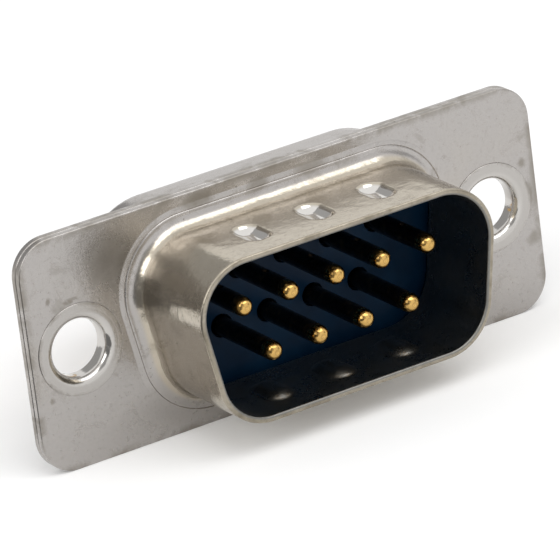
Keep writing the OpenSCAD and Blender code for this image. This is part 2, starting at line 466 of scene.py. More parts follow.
@dataclass(frozen=True)
class PlatingAreas:
    """The noises and areas that a shell's plating is painted from, each from 0 to 1."""

    place: Sock
    broad: Sock
    patch: Sock
    grain: Sock
    face: Sock
    hood: Sock
    inside: Sock
    bright: Sock
    scuff: Sock


@dataclass(frozen=True)
class PlatedSteel:
    """Tin plating on drawn steel, handled and a little stained, with painted shade on the hood's
    inner walls, a painted highlight in the dimples and a painted reflection on the flange.
    """

    name: str
    cool: Colour = rgb(0.455, 0.433, 0.418)
    warm: Colour = rgb(0.54, 0.485, 0.395)
    # Lighter metal in the dimples: freshly pressed plating, made lighter still as a painted
    # highlight.
    fresh_and_highlight: Colour = rgb(0.74, 0.72, 0.69)
    # Painted shade: the hood's inner walls are painted this dark grey, standing in for the shade
    # inside the mouth and dulling its highlights.
    inner: Colour = rgb(0.22, 0.22, 0.21)
    # Colour of the stains, of the dull rim and of the flange's painted reflection of the hood.
    stain_and_reflection: Colour = rgb(0.17, 0.145, 0.105)
    speck: Colour = rgb(0.10, 0.085, 0.06)
    rubbed: Colour = rgb(0.60, 0.57, 0.53)
    grime: Colour = rgb(0.235, 0.205, 0.16)
    roughness: float = 0.17
    # Marks on the flange: stains, and one painted reflection.
    stains_and_reflection: tuple[FlangeMark, ...] = ()
    blank: Blank = Blank()
    dimples: Dimples = Dimples()
    hood_starts: Point2 = (-0.35, -0.08)
    near_rim: Point2 = (-5.9, -3.6)
    rim: Point2 = (-6.07, -5.96)
    dimple_edge: Point2 = (0.58, 0.74)
    dimple_z: Point2 = (3.6, 3.7)
    dent_depth: float = 0.045
    ripple_depth: float = 0.012
    rub_depth: float = 0.007
    grain_depth: float = 0.0035
    scuff_depth: float = 0.002

    def _dimples(self, x: Sock, y: Sock, z: Sock) -> Sock:
        """Finds the pressed dimples, whose plating is painted lighter: fresh pressed metal, and a
        painted highlight.

        Args:
            x: Place along the flange.
            y: Place along the hood.
            z: Place across the flange.

        Returns:
            1 in a dimple, else 0.
        """
        aside = abs(x).at_most(abs(abs(x) - self.dimples.pitch))
        along = (abs(y - self.dimples.y) - self.dimples.straight).at_least(0.0)
        reach = (aside * aside + along * along) ** 0.5
        return reach.ramp(*self.dimple_edge, 1.0, 0.0) * abs(z).ramp(*self.dimple_z)

    def _areas(self, s: Shader, place: Sock, x: Sock, y: Sock, z: Sock) -> PlatingAreas:
        """Makes the noises, and tells flange, hood, inner wall and dimples apart.

        Args:
            s: The shader to add to.
            place: The place on the surface.
            x: Place along the flange.
            y: Place along the hood.
            z: Place across the flange.

        Returns:
            The noises and areas.
        """
        face = y.ramp(*self.hood_starts)
        hood = 1 - face
        turned_out = s.add("ShaderNodeNewGeometry", output="True Normal")
        outward = s.add("ShaderNodeVectorMath", {"operation": "DOT_PRODUCT"},
                        {0: place * (1.0, 0.0, 1.0), 1: turned_out}, "Value")
        # inside finds the hood's inner faces, which the finish paints dark as painted shade.
        inside = outward.ramp(-0.6, 0.0, 1.0, 0.0) * hood
        return PlatingAreas(
            place=place, broad=s.cloud(place, 0.16, 2.0),
            patch=s.cloud(place, 0.55, 5.0, 0.62, 0.6), grain=s.cloud(place, 9.0, 4.0, 0.6),
            face=face, hood=hood, inside=inside,
            bright=self._dimples(x, y, z) * (1 - inside),
            scuff=(s.cloud(place * (6.0, 0.7, 6.0), 1.3, 4.0, 0.7).ramp(0.6, 0.74)
                   * y.ramp(*self.near_rim, 1.0, 0.1)))

    def _blotches(self, area: PlatingAreas, x: Sock, z: Sock) -> Sock:
        """Lays soft patches, a stained border and the flange's own marks, which are stains and one
        painted reflection.

        Args:
            area: The noises and areas.
            x: Place along the flange.
            z: Place across the flange.

        Returns:
            How stained the surface is.
        """
        patch, broad = area.patch, area.broad
        border = (abs(x) - self.blank.width / 2).at_least(abs(z) - self.blank.height / 2)
        blotch = patch.ramp(0.54, 0.72) * 0.34 * (1 - area.bright)
        blotch = blotch.at_least(border.ramp(-0.5, -0.06) * patch.ramp(0.38, 0.62)
                                 * area.face * 0.6)
        # Each mark darkens the flange; one of them is a painted reflection of the hood, the rest
        # are stains.
        for mark in self.stains_and_reflection:
            off_x = (x - mark.x + (patch - 0.5) * 2.2) / mark.width
            off_z = (z - mark.z + (broad - 0.5) * 2.2) / mark.height
            reach = (off_x * off_x + off_z * off_z) ** 0.5
            blotch = blotch.at_least(reach.ramp(0.25, 1.0, mark.strength, 0.0) * area.face)
        return blotch * area.grain.ramp(0.2, 0.7, 0.75, 1.0)

    def _relief(self, s: Shader, area: PlatingAreas) -> Sock:
        """Makes the sheet a little uneven, smoother on the flange and in the dimples.

        Args:
            s: The shader to add to.
            area: The noises and areas.

        Returns:
            The normal.
        """
        place, dull = area.place, 1 - area.bright
        calm = 1 - area.bright * 0.7
        dents = s.cloud(place, 0.75, 2.0, 0.5) * (1 - area.face * 0.6) * dull
        ripples = s.cloud(place, 2.3, 3.0, 0.6) * area.hood * dull
        rub = s.cloud(place * (0.5, 3.2, 0.5), 1.6, 3.0, 0.6)
        normal = s.bump(dents, self.dent_depth)
        normal = s.bump(ripples, self.ripple_depth, normal)
        normal = s.bump(rub * calm, self.rub_depth, normal)
        normal = s.bump(area.grain * calm, self.grain_depth, normal)
        return s.bump(area.scuff, self.scuff_depth, normal)

    def material(self) -> bpy.types.Material:
        """Builds the finish.

        Returns:
            The material.
        """
        material, s = new_material(self.name)
        place, x, y, z = s.place()
        area = self._areas(s, place, x, y, z)
        patch, grain, bright = area.patch, area.grain, area.bright
        warmth = (area.broad * 0.6 + area.hood * 0.55).ramp(0.3, 0.85)
        blotch = self._blotches(area, x, z)
        specks = s.cloud(place, 3.1, 2.0, 0.5).ramp(0.72, 0.78) * patch.ramp(0.42, 0.6)
        dusty = y.ramp(*self.near_rim, 1.0, 0.1) * area.hood * 0.55 + area.face * 0.22
        soiled = s.cloud(place, 4.2, 5.0, 0.72).ramp(0.5, 0.72) * dusty * (1 - bright)
        rim = y.ramp(*self.rim, 1.0, 0.0) * patch.ramp(0.3, 0.62, 1.0, 0.45)
        colour = s.mix(warmth, self.cool, self.warm)
        # Layers: lighter metal in the dimples (fresh plating plus a painted highlight), stains and
        # one painted reflection, specks, rubbed grain, grime, the dull rim, and painted shade on
        # the inner walls.
        for share, layer in ((bright, self.fresh_and_highlight), (blotch, self.stain_and_reflection),
                             (specks * 0.75, self.speck),
                             (grain.ramp(0.35, 0.7, 0.0, 0.16), self.rubbed),
                             (soiled, self.grime), (rim * 0.8, self.stain_and_reflection),
                             (area.inside * 0.85, self.inner)):
            colour = s.mix(share, colour, layer)
        roughness = (self.roughness + blotch * 0.22 + specks * 0.3 + (grain - 0.5) * 0.12
                     + area.scuff * 0.12 + (patch - 0.5) * 0.14 + rim * 0.2
                     + area.face * 0.07 + soiled * 0.3 + area.inside * 0.12 - bright * 0.09)
        s.surface({"Base Color": colour, "Metallic": 1.0, "Roughness": roughness,
                   "Normal": self._relief(s, area)})
        return material


@dataclass(frozen=True)
class MouldedInsulator:
    """Smooth moulded plastic, almost black blue."""

    name: str = "insulator_blue_black"
    deep: Colour = rgb(0.002, 0.017, 0.045)
    pale: Colour = rgb(0.004, 0.028, 0.068)
    roughness: float = 0.34
    specular: float = 0.16

    def material(self) -> bpy.types.Material:
        """Builds the finish.

        Returns:
            The material.
        """
        material, s = new_material(self.name)
        place, *_ = s.place()
        cloudy = s.cloud(place, 0.35, 3.0)
        fine = s.cloud(place, 14.0, 2.0)
        colour = s.mix(cloudy.ramp(0.35, 0.7), self.deep, self.pale)
        roughness = self.roughness + (cloudy - 0.5) * 0.2 + (fine - 0.5) * 0.12
        s.surface({"Base Color": colour, "Roughness": roughness,
                   "Specular IOR Level": self.specular,
                   "Normal": s.bump(fine, 0.003, s.bump(cloudy, 0.02))})
        return material


@dataclass(frozen=True)
class NickelEyelet:
    """Bright nickel on a rolled eyelet, dull in its seam."""

    name: str = "eyelet_nickel"
    bright: Colour = rgb(0.50, 0.478, 0.455)
    dull: Colour = rgb(0.20, 0.175, 0.14)
    polished: Colour = rgb(0.66, 0.64, 0.61)
    roughness: float = 0.22
    funnel: Point2 = (1.75, 2.05)
    lip_radius: float = 2.45
    pitch: float = HOLE_PITCH

    def material(self) -> bpy.types.Material:
        """Builds the finish.

        Returns:
            The material.
        """
        material, s = new_material(self.name)
        place, x, y, z = s.place()
        across = abs(x) - self.pitch / 2
        reach = (across * across + z * z) ** 0.5
        grain = s.cloud(place, 7.0, 4.0, 0.6)
        patch = s.cloud(place, 0.9, 4.0, 0.6)
        seam = reach.ramp(self.lip_radius - 0.22, self.lip_radius - 0.02)
        dirt = (seam * patch.ramp(0.42, 0.7)).at_least(patch.ramp(0.6, 0.8) * 0.35)
        funnel = reach.ramp(*self.funnel, 1.0, 0.0)
        colour = s.mix(dirt * 0.6, self.bright, self.dull)
        colour = s.mix(funnel * 0.6, colour, self.polished)
        roughness = self.roughness + dirt * 0.24 + (grain - 0.5) * 0.16 - funnel * 0.1
        rings = s.cloud(s.join(reach * 9.0, y * 6.0, 0.0), 1.0, 2.0)
        normal = s.bump(grain, 0.004, s.bump(rings, 0.006))
        s.surface({"Base Color": colour, "Metallic": 1.0, "Roughness": roughness,
                   "Normal": normal})
        return material


@dataclass(frozen=True)
class GoldContact:
    """Gold on the tip and the cup, with the shaft between them painted almost black as painted
    shade.
    """

    name: str = "contact_gold"
    gold: Colour = rgb(0.70, 0.44, 0.14)
    # Painted shade: the pin's shaft inside the hood is painted almost black, standing in for its
    # shadow and the dark reflections in there.
    shaft_shade: Colour = rgb(0.045, 0.036, 0.030)
    # Colour of the patchy tarnish ring and of the painted reflection at the tip's centre.
    tarnish_and_tip_reflection: Colour = rgb(0.11, 0.06, 0.018)
    copper: Colour = rgb(0.42, 0.26, 0.10)
    roughness: float = 0.16
    gold_to: float = -4.62
    shaft_from: float = -4.3
    shaft_to: Point2 = (0.6, 1.4)
    # Painted reflection: a dark dot at the centre of each tip, where the tip mirrors the dark
    # surroundings in front of it.
    tip_reflection_dot: Point2 = (-5.145, -5.12)
    ring: tuple[Point2, Point2] = ((-5.06, -4.98), (-4.86, -4.78))

    def material(self) -> bpy.types.Material:
        """Builds the finish.

        Returns:
            The material.
        """
        material, s = new_material(self.name)
        place, x, y, z = s.place()
        grain = s.cloud(place, 11.0, 3.0)
        patch = s.cloud(place, 1.6, 3.0)
        edge = y + (patch - 0.5) * 0.5
        # The shaft is painted dark from just behind the tip to the cup: painted shade, not a finish
        # of its own.
        shaft_shade = edge.ramp(self.gold_to, self.shaft_from) * y.ramp(*self.shaft_to, 1.0, 0.0)
        colour = s.mix(shaft_shade, self.gold, self.shaft_shade)
        colour = s.mix(patch.ramp(0.5, 0.75) * 0.3, colour, self.copper)
        # The centre dot is a painted reflection; the worn ring behind it is tarnish.
        tip_reflection_dot = y.ramp(*self.tip_reflection_dot, 1.0, 0.0)
        ring = y.ramp(*self.ring[0]) * y.ramp(*self.ring[1], 1.0, 0.0)
        worn = s.cloud(place, 2.6, 3.0, 0.6).ramp(0.38, 0.6)
        colour = s.mix((tip_reflection_dot * 0.85).at_least(ring * worn * 0.9), colour, self.tarnish_and_tip_reflection)
        turning = s.cloud(s.join(0.0, y * 22.0, 0.0), 1.0, 2.0)
        roughness = self.roughness + (grain - 0.5) * 0.14 + shaft_shade * 0.14 + (patch - 0.5) * 0.1
        normal = s.bump(grain, 0.002, s.bump(turning, 0.003))
        s.surface({"Base Color": colour, "Metallic": 1.0, "Roughness": roughness,
                   "Normal": normal})
        return material


# ------------------------------------------------------------------ mesh building


class Skin:
    """Collects rows of points, bridges them and makes one mesh of them."""

    def __init__(self) -> None:
        """Starts with nothing."""
        self.points: list[tuple[float, float, float]] = []
        self.faces: list[tuple[int, ...]] = []

    def row(self, points: Iterable[tuple[float, float, float]]) -> list[int]:
        """Adds a row of points.

        Args:
            points: The points, in millimetres.

        Returns:
            Their numbers.
        """
        first = len(self.points)
        self.points.extend(points)
        return list(range(first, len(self.points)))

    def bridge(self, a: Sequence[int], b: Sequence[int], closed: bool = True) -> None:
        """Joins two rows of the same length with quads.

        Args:
            a: First row.
            b: Second row.
            closed: Whether the rows are rings.
        """
        count = len(a)
        for i in range(count if closed else count - 1):
            j = (i + 1) % count
            self.faces.append((a[i], a[j], b[j], b[i]))

    def skin_rows(self, rows: Sequence[Sequence[int]], closed: bool = True) -> None:
        """Bridges each row to the next."""
        for a, b in zip(rows, rows[1:]):
            self.bridge(a, b, closed)

    def plate(self, edge: Sequence[int], holes: Sequence[Sequence[int]]) -> None:
        """Fills a flat face that lies across Y.

        Args:
            edge: The outer ring.
            holes: The rings that stay open.
        """
        rings = [list(edge), *map(list, holes)]
        numbers = [n for ring in rings for n in ring]
        flat = [Vector((self.points[n][0], self.points[n][2])) for n in numbers]
        borders, start = [], 0
        for ring in rings:
            borders += [(start + i, start + (i + 1) % len(ring)) for i in range(len(ring))]
            start += len(ring)
        _, _, faces, origin, _, _ = geometry.delaunay_2d_cdt(flat, borders, [], 1, 1e-6)
        loops = [[self.points[n] for n in ring] for ring in holes]
        for face in faces:
            corners = [numbers[origin[i][0]] for i in face]
            mid_x = sum(self.points[n][0] for n in corners) / 3
            mid_z = sum(self.points[n][2] for n in corners) / 3
            if not any(self._inside(loop, mid_x, mid_z) for loop in loops):
                self.faces.append(tuple(corners))

    @staticmethod
    def _inside(loop: Sequence[tuple[float, float, float]], x: float, z: float) -> bool:
        """Tells whether a place lies inside a ring.

        Args:
            loop: The ring's points.
            x: The place's x.
            z: The place's z.

        Returns:
            True if it does.
        """
        odd = False
        for (ax, _, az), (bx, _, bz) in zip(loop, [*loop[1:], loop[0]]):
            if (az > z) != (bz > z) and x < ax + (z - az) * (bx - ax) / (bz - az):
                odd = not odd
        return odd

    def make(self, name: str, finish: bpy.types.Material, crease: float = 34.0,
             nodes: Sequence[str] = ()) -> bpy.types.Object:
        """Makes the object and gives it its place in the part.

        Args:
            name: The piece's name.
            finish: Its material.
            crease: Angle from which an edge stays sharp, in degrees.
            nodes: The CAD nodes that it stands for.

        Returns:
            The object.
        """
        mesh = bpy.data.meshes.new(name)
        body = bmesh.new()
        corners = [body.verts.new([v * MM for v in p]) for p in self.points]
        for face in self.faces:
            distinct = list(dict.fromkeys(face))
            if len(distinct) > 2:
                try:
                    body.faces.new([corners[i] for i in distinct])
                except ValueError:
                    log.warning("%s: a face was given twice", name)
        bmesh.ops.remove_doubles(body, verts=body.verts, dist=2e-7)
        bmesh.ops.dissolve_degenerate(body, edges=body.edges, dist=1e-8)
        bmesh.ops.recalc_face_normals(body, faces=body.faces)
        body.to_mesh(mesh)
        body.free()
        mesh.shade_smooth()
        mesh.set_sharp_from_angle(angle=math.radians(crease))
        mesh.materials.append(finish)
        piece = bpy.data.objects.new(name, mesh)
        bpy.context.scene.collection.objects.link(piece)
        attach(piece, BODY)
        if nodes:
            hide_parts(*nodes)
        return piece


def swept(skin: Skin, stations: Sequence[Station], profile: Sequence[Point2],
          shift: Callable[[Station, float, float], float] | None = None) -> list[list[int]]:
    """Carries a profile round an outline.

    Args:
        skin: Where the rows are added.
        stations: The outline.
        profile: Outward offset and depth of each row.
        shift: Adds to the offset at a station, an offset and a depth.

    Returns:
        The rows, one for each point of the profile.
    """
    rows = []
    for offset, y in profile:
        ring = []
        for station in stations:
            x, z, nx, nz = station
            u = offset + (shift(station, offset, y) if shift else 0.0)
            ring.append((x + u * nx, y, z + u * nz))
        rows.append(skin.row(ring))
    skin.skin_rows(rows)
    return rows


def turned(skin: Skin, at: Point2, profile: Sequence[Point2], steps: int,
           closed: bool = False) -> list[list[int]]:
    """Turns a profile about an axis along Y.

    Args:
        skin: Where the rows are added.
        at: The axis's X and Z.
        profile: Radius and depth of each row.
        steps: Number of points in a row.
        closed: Whether the profile is a loop.

    Returns:
        The rows, one for each point of the profile.
    """
    rows = []
    for radius, y in profile:
        angles = [2 * math.pi * i / steps for i in range(steps)]
        rows.append(skin.row((at[0] + radius * math.cos(a), y, at[1] + radius * math.sin(a))
                             for a in angles))
    skin.skin_rows([*rows, rows[0]] if closed else rows)
    return rows


# ------------------------------------------------------------------ shells


@dataclass
class FrontShell:
    """The front shell: a flange and the drawn hood round the contacts."""

    finish: bpy.types.Material
    line: DLine = field(default_factory=DLine)
    blank: Blank = field(default_factory=Blank)
    dimples: Dimples = field(default_factory=Dimples)
    sheet: float = SHEET
    wall: float = 0.34
    rim_y: float = -6.1
    rim_round: float = 0.12
    foot: float = 0.78
    ramp: float = 0.39
    ramp_rise: float = 0.08
    ramp_crest: tuple[Point2, ...] = ((0.025, 0.0), (0.01, 0.0), (-0.01, -0.002), (-0.05, -0.007))
    stamped_line: tuple[Point2, ...] = ((0.14, 0.016), (0.10, 0.014), (0.06, 0.04),
                                        (0.02, 0.004), (0.0, 0.0))
    dimple_rows: Point2 = (-1.75, -4.95)
    dimple_reach: Point2 = (-1.2, -5.4)
    eyelet_seat: float = 2.47
    eyelet_hole: float = EYELET_HOLE
    seat_depth: float = 0.38

    def outer_profile(self) -> list[Point2]:
        """Walks from the flange's front face over the foot to the rim.

        Returns:
            Offset and depth of each row.
        """
        foot_u, foot_y = self.wall + self.foot, -(self.ramp_rise + self.foot)
        end_u = foot_u + self.ramp
        crest = [(end_u + u, y) for u, y in self.ramp_crest]
        line = [(foot_u + u, y - self.ramp_rise) for u, y in self.stamped_line]
        fillet = arc((foot_u, foot_y), self.foot, 90, 180, 14)[1:]
        top = self.rim_y + self.rim_round
        walls = [(self.wall, y) for y in self._wall_rows(foot_y, top)[1:]]
        rim = arc((self.wall - self.rim_round, top), self.rim_round, 0, -90, 6)[1:]
        return crest + line + fillet + walls + rim

    def inner_profile(self) -> list[Point2]:
        """Walks from the rim down the inside to the flange's rear face.

        Returns:
            Offset and depth of each row.
        """
        foot_y = -(self.ramp_rise + self.foot)
        top = self.rim_y + self.rim_round
        flare = self.sheet - foot_y
        rim = arc((self.rim_round, top), self.rim_round, -90, -180, 6)
        walls = [(0.0, y) for y in reversed(self._wall_rows(foot_y, top)[:-1])]
        bend = [(u, y) for u, y in arc((flare, foot_y), flare, 180, 90, 14)[1:]]
        return rim + walls + bend + [(flare + 0.05, self.sheet), (flare + 0.3, self.sheet)]

    def _wall_rows(self, foot_y: float, top: float) -> list[float]:
        """Divides the straight wall, finely where the dimples are.

        Args:
            foot_y: Depth at which the wall starts.
            top: Depth at which the rim's rounding starts.

        Returns:
            The rows' depths.
        """
        first, last = self.dimple_rows
        return (spaced(foot_y, first, 0.3) + spaced(first, last, 0.08)[1:]
                + spaced(last, top + 0.05, 0.3)[1:] + [top])

    def _shift(self, station: Station, offset: float, y: float) -> float:
        """Presses the dimples into the long walls.

        Args:
            station: The place on the outline.
            offset: The row's offset, near 0 on the inner face.
            y: The row's depth.

        Returns:
            What is added to the offset.
        """
        x, _, _, nz = station
        first, last = self.dimple_reach
        if y > first or y < last or abs(nz) < 0.999:
            return 0.0
        return -self.dimples.sink(x, y, self.wall if offset < 0.1 else 0.0)

    def build(self) -> bpy.types.Object:
        """Builds the shell.

        Returns:
            The piece.
        """
        skin = Skin()
        stations = self.line.stations()
        outer = swept(skin, stations, self.outer_profile(), self._shift)
        inner = swept(skin, stations, self.inner_profile(), self._shift)
        skin.bridge(outer[-1], inner[0])
        edge = flange_edge(skin, self.blank, 0.0, self.sheet)
        front, rear = eyelet_holes(skin, self.blank, [
            (self.eyelet_seat + 0.004, 0.0), (self.eyelet_seat, 0.0),
            (self.eyelet_hole, self.seat_depth), (self.eyelet_hole, self.sheet)])
        skin.plate(edge[0], [outer[0], *front])
        skin.plate(edge[-1], [inner[-1], *rear])
        return skin.make("front_shell_drawn", self.finish, nodes=["front_shell"])


def flange_edge(skin: Skin, blank: Blank, front: float, rear: float) -> list[list[int]]:
    """Makes the flange's edge, with its two arrises rounded.

    Args:
        skin: Where the rows are added.
        blank: The flange's outline.
        front: Depth of the flange's front face.
        rear: Depth of its rear face.

    Returns:
        The rows, from the front face to the rear face.
    """
    r = blank.edge_round
    profile = [(-r - 0.09, front), (-r - 0.02, front)]
    profile += arc((-r, front + r), r, -90, 0, 5)
    profile += arc((-r, rear - r), r, 0, 90, 5)
    profile += [(-r - 0.02, rear), (-r - 0.09, rear)]
    return swept(skin, blank.stations(), profile)


def eyelet_holes(skin: Skin, blank: Blank,
                 profile: Sequence[Point2]) -> tuple[list[list[int]], list[list[int]]]:
    """Makes the walls of the flange's two holes.

    Args:
        skin: Where the rows are added.
        blank: The flange's outline.
        profile: Radius and depth of each row.

    Returns:
        The two holes' first rings, and their last ones.
    """
    holes = [turned(skin, (side * blank.pitch / 2, 0.0), profile, blank.hole_steps)
             for side in (-1, 1)]
    return [rows[0] for rows in holes], [rows[-1] for rows in holes]


@dataclass
class RearShell:
    """The rear shell: a flange and the cup that holds the insulator."""

    finish: bpy.types.Material
    line: DLine = field(default_factory=lambda: DLine(flat_step=0.6))
    blank: Blank = field(default_factory=Blank)
    sheet: float = SHEET
    front: float = SHEET
    out_u: float = 1.18
    foot: float = 0.5
    depth: float = 4.75
    bend: float = 0.6
    lip: float = 1.7
    eyelet_hole: float = EYELET_HOLE

    def outer_profile(self) -> list[Point2]:
        """Walks from the flange's rear face over the cup to its open edge.

        Returns:
            Offset and depth of each row.
        """
        rear = self.front + self.sheet
        foot_u, foot_y = self.out_u + self.foot, rear + self.foot
        outer = self.bend + self.sheet
        lip_u, burr = self.out_u - self.lip, 0.05
        return ([(foot_u + 0.25, rear), (foot_u + 0.05, rear)]
                + arc((foot_u, foot_y), self.foot, -90, -180, 12)
                + [(self.out_u, y) for y in spaced(foot_y, self.depth - outer, 0.8)[1:]]
                + arc((self.out_u - outer, self.depth - outer), outer, 0, 90, 14)[1:]
                + [(self.out_u - outer - 0.06, self.depth), (lip_u + burr + 0.02, self.depth)]
                + arc((lip_u + burr, self.depth - burr), burr, 90, 180, 4))

    def inner_profile(self) -> list[Point2]:
        """Walks from the cup's open edge down its inside to the flange's front face.

        Returns:
            Offset and depth of each row.
        """
        in_u, inner_y = self.out_u - self.sheet, self.depth - self.sheet
        foot_u = self.out_u + self.foot
        foot_y = self.front + self.sheet + self.foot
        lip_u = self.out_u - self.lip
        return ([(lip_u, inner_y), (lip_u + 0.05, inner_y)]
                + arc((in_u - self.bend, inner_y - self.bend), self.bend, 90, 0, 10)
                + [(in_u, y) for y in spaced(inner_y - self.bend, foot_y, 0.8)[1:]]
                + arc((foot_u, foot_y), self.foot + self.sheet, 180, 270, 12)[1:]
                + [(foot_u + 0.05, self.front), (foot_u + 0.25, self.front)])

    def build(self) -> bpy.types.Object:
        """Builds the shell.

        Returns:
            The piece.
        """
        skin = Skin()
        stations = self.line.stations()
        outer = swept(skin, stations, self.outer_profile())
        inner = swept(skin, stations, self.inner_profile())
        skin.bridge(outer[-1], inner[0])
        rear = self.front + self.sheet
        edge = flange_edge(skin, self.blank, self.front, rear)
        near, far = eyelet_holes(skin, self.blank, [(self.eyelet_hole, self.front),
                                                    (self.eyelet_hole, rear)])
        skin.plate(edge[0], [inner[-1], *near])
        skin.plate(edge[-1], [outer[0], *far])
        return skin.make("rear_shell_drawn", self.finish, nodes=["rear_shell"])


# ------------------------------------------------------------------ eyelets


@dataclass
class Eyelets:
    """The two tubular eyelets that hold the shells together."""

    finish: bpy.types.Material
    pitch: float = HOLE_PITCH
    bore: float = 1.525
    tube: float = 1.795
    lip: float = 2.45
    proud: float = 0.04
    lead: float = 0.46
    sink: float = 0.38
    stack: float = 2 * SHEET
    head: float = 2.35
    head_height: float = 0.24
    head_round: float = 0.19

    def profile(self) -> list[Point2]:
        """Walks round the eyelet's section.

        Returns:
            Radius and depth of each row.
        """
        front, back = -self.proud, self.stack + self.head_height
        small = 0.03
        lead = arc((self.bore + self.lead, front + self.lead), self.lead, 180, 270, 14)
        lip = [(self.lip - small - 0.03, front)]
        lip += arc((self.lip - small, front + small), small, -90, 0, 4)
        shank = [(self.lip, 0.0), (self.tube, self.sink), (self.tube, self.stack)]
        head = [(self.head - 0.06, self.stack), (self.head, self.stack + 0.02)]
        head += arc((self.head - self.head_round, back - self.head_round), self.head_round,
                    0, 90, 8)
        edge = arc((self.bore + 0.08, back - 0.08), 0.08, 90, 180, 4)
        return lead + lip + shank + head + edge

    def build(self) -> list[bpy.types.Object]:
        """Builds both eyelets.

        Returns:
            The pieces.
        """
        made = []
        for side, name in ((-1, "left"), (1, "right")):
            skin = Skin()
            turned(skin, (side * self.pitch / 2, 0.0), self.profile(), 112, closed=True)
            made.append(skin.make(f"eyelet_{name}_rolled", self.finish,
                                  nodes=[f"eyelet_{name}"]))
        return made


# ------------------------------------------------------------------ contacts


